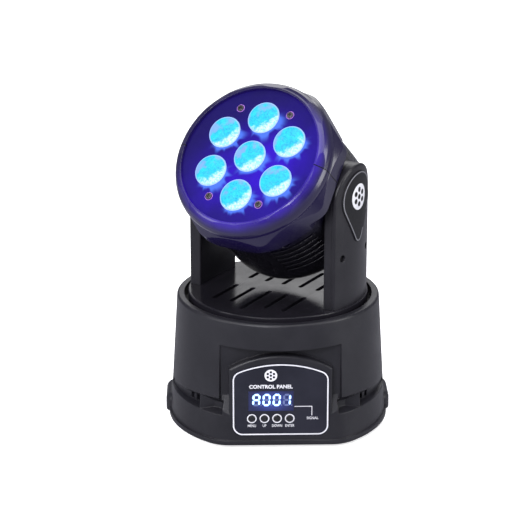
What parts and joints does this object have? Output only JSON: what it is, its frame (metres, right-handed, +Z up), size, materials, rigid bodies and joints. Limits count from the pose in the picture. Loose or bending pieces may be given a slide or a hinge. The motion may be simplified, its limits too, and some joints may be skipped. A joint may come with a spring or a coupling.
{
  "type": "moving head light",
  "caption": "Mini moving head wash light with a round base and control panel, a panning two-arm yoke and a tilting head of clear lenses.",
  "frame": {"origin": "on the floor under the middle of the base, at the underside of the rubber feet", "axes": "+Z up; the control panel faces -Y, the sockets face +Y, +X is to the right seen from the panel"},
  "size_m": [0.17, 0.1551, 0.2567],
  "materials": {
    "casing": "fine textured",
    "bottom_steel": "satin",
    "foot_rubber": "matte",
    "screw_black": "black oxide",
    "overlay": "satin",
    "window": "smoked, glossy",
    "display": "glossy",
    "circuit_board": "satin",
    "switch_black": "matte",
    "button_black": "satin",
    "rear_metal": "satin",
    "socket_plastic": "satin",
    "socket_metal": "nickel plated",
    "motor_steel": "satin",
    "pulley_alloy": "machined",
    "belt_rubber": "matte",
    "bearing_steel": "polished",
    "shaft_steel": "ground",
    "yoke_floor": "glossy",
    "arm_plastic": "fine textured",
    "badge_plastic": "matte, grey border",
    "shell_plastic": "glossy",
    "lens_plate": "satin",
    "lens_clear": "clear, lit from behind",
    "cup_black": "matte",
    "board_white": "white solder mask",
    "emitter": "matte",
    "heatsink_alloy": "extruded",
    "fan_plastic": "satin",
    "bracket_steel": "zinc plated"
  },
  "bodies": {
    "base": {"base_casing": "casing", "base_plate": "bottom_steel", "rubber_feet": "foot_rubber", "base_screws": "screw_black", "panel_overlay": "overlay", "display_window": "window", "display_module": "display", "control_board": "circuit_board", "key_switches": "switch_black", "rear_panel": "rear_metal", "power_inlet": "socket_plastic", "fuse_holder": "socket_plastic", "dmx_in_socket": "socket_metal", "dmx_out_socket": "socket_metal", "power_supply": "circuit_board", "main_board": "circuit_board", "pan_bearing": "bearing_steel", "pan_motor": "motor_steel", "pan_belt": "belt_rubber"},
    "menu_button": {"menu_button": "button_black"},
    "up_button": {"up_button": "button_black"},
    "down_button": {"down_button": "button_black"},
    "enter_button": {"enter_button": "button_black"},
    "pan_drive": {"pan_drive_pulley": "pulley_alloy"},
    "yoke": {"pan_shaft": "shaft_steel", "pan_driven_pulley": "pulley_alloy", "yoke_floor": "yoke_floor", "left_arm_frame": "arm_plastic", "right_arm_frame": "arm_plastic", "left_arm_cover": "arm_plastic", "right_arm_cover": "arm_plastic", "left_badge": "badge_plastic", "right_badge": "badge_plastic", "cover_screws": "screw_black", "left_pivot": "shaft_steel", "right_pivot": "shaft_steel", "tilt_fixed_pulley": "pulley_alloy"},
    "head": {"upper_shell": "shell_plastic", "lower_shell": "shell_plastic", "shell_screws": "screw_black", "lens_plate": "lens_plate", "lens_plate_screws": "screw_black", "lens_1": "lens_clear", "lens_2": "lens_clear", "lens_3": "lens_clear", "lens_4": "lens_clear", "lens_5": "lens_clear", "lens_6": "lens_clear", "lens_7": "lens_clear", "lens_holders": "cup_black", "led_board": "board_white", "led_emitters": "emitter", "heatsink": "heatsink_alloy", "fan_frame": "fan_plastic", "tilt_bearings": "bearing_steel", "tilt_motor": "motor_steel", "tilt_motor_bracket": "bracket_steel", "tilt_belt": "belt_rubber"},
    "fan": {"fan_rotor": "fan_plastic"},
    "tilt_drive": {"tilt_drive_pulley": "pulley_alloy"}
  },
  "joints": [
    {"name": "pan", "type": "hinge", "parent": "base", "child": "yoke", "pos_m": [0, 0, 0.087], "axis": [0, 0, 1], "range_deg": [-240, 300]},
    {"name": "tilt", "type": "hinge", "parent": "yoke", "child": "head", "pos_m": [0, 0, 0.1783], "axis": [0.8526, -0.5225, 0], "range_deg": [-140.5, 39.5]},
    {"name": "pan_motor_turn", "type": "hinge", "parent": "base", "child": "pan_drive", "pos_m": [-0.041, 0.012, 0.055], "axis": [0, 0, 1], "range_deg": [-845, 1055]},
    {"name": "tilt_motor_turn", "type": "hinge", "parent": "head", "child": "tilt_drive", "pos_m": [0.03116, -0.02284, 0.15242], "axis": [0.8526, -0.5225, 0], "range_deg": [-116, 398]},
    {"name": "fan_spin", "type": "hinge", "parent": "head", "child": "fan", "pos_m": [0.01613, 0.02632, 0.15286], "axis": [-0.4032, -0.6579, 0.6361], "continuous": true},
    {"name": "menu_button_press", "type": "slide", "parent": "base", "child": "menu_button", "axis": [0, 1, 0], "range_m": [0, 0.0008], "stiffness_N_per_m": 400},
    {"name": "up_button_press", "type": "slide", "parent": "base", "child": "up_button", "axis": [0, 1, 0], "range_m": [0, 0.0008], "stiffness_N_per_m": 400},
    {"name": "down_button_press", "type": "slide", "parent": "base", "child": "down_button", "axis": [0, 1, 0], "range_m": [0, 0.0008], "stiffness_N_per_m": 400},
    {"name": "enter_button_press", "type": "slide", "parent": "base", "child": "enter_button", "axis": [0, 1, 0], "range_m": [0, 0.0008], "stiffness_N_per_m": 400}
  ],
  "couplings": [
    {"joint": "pan_motor_turn", "follows": "pan", "ratio": 3.5},
    {"joint": "tilt_motor_turn", "follows": "tilt", "ratio": -2.8}
  ]
}
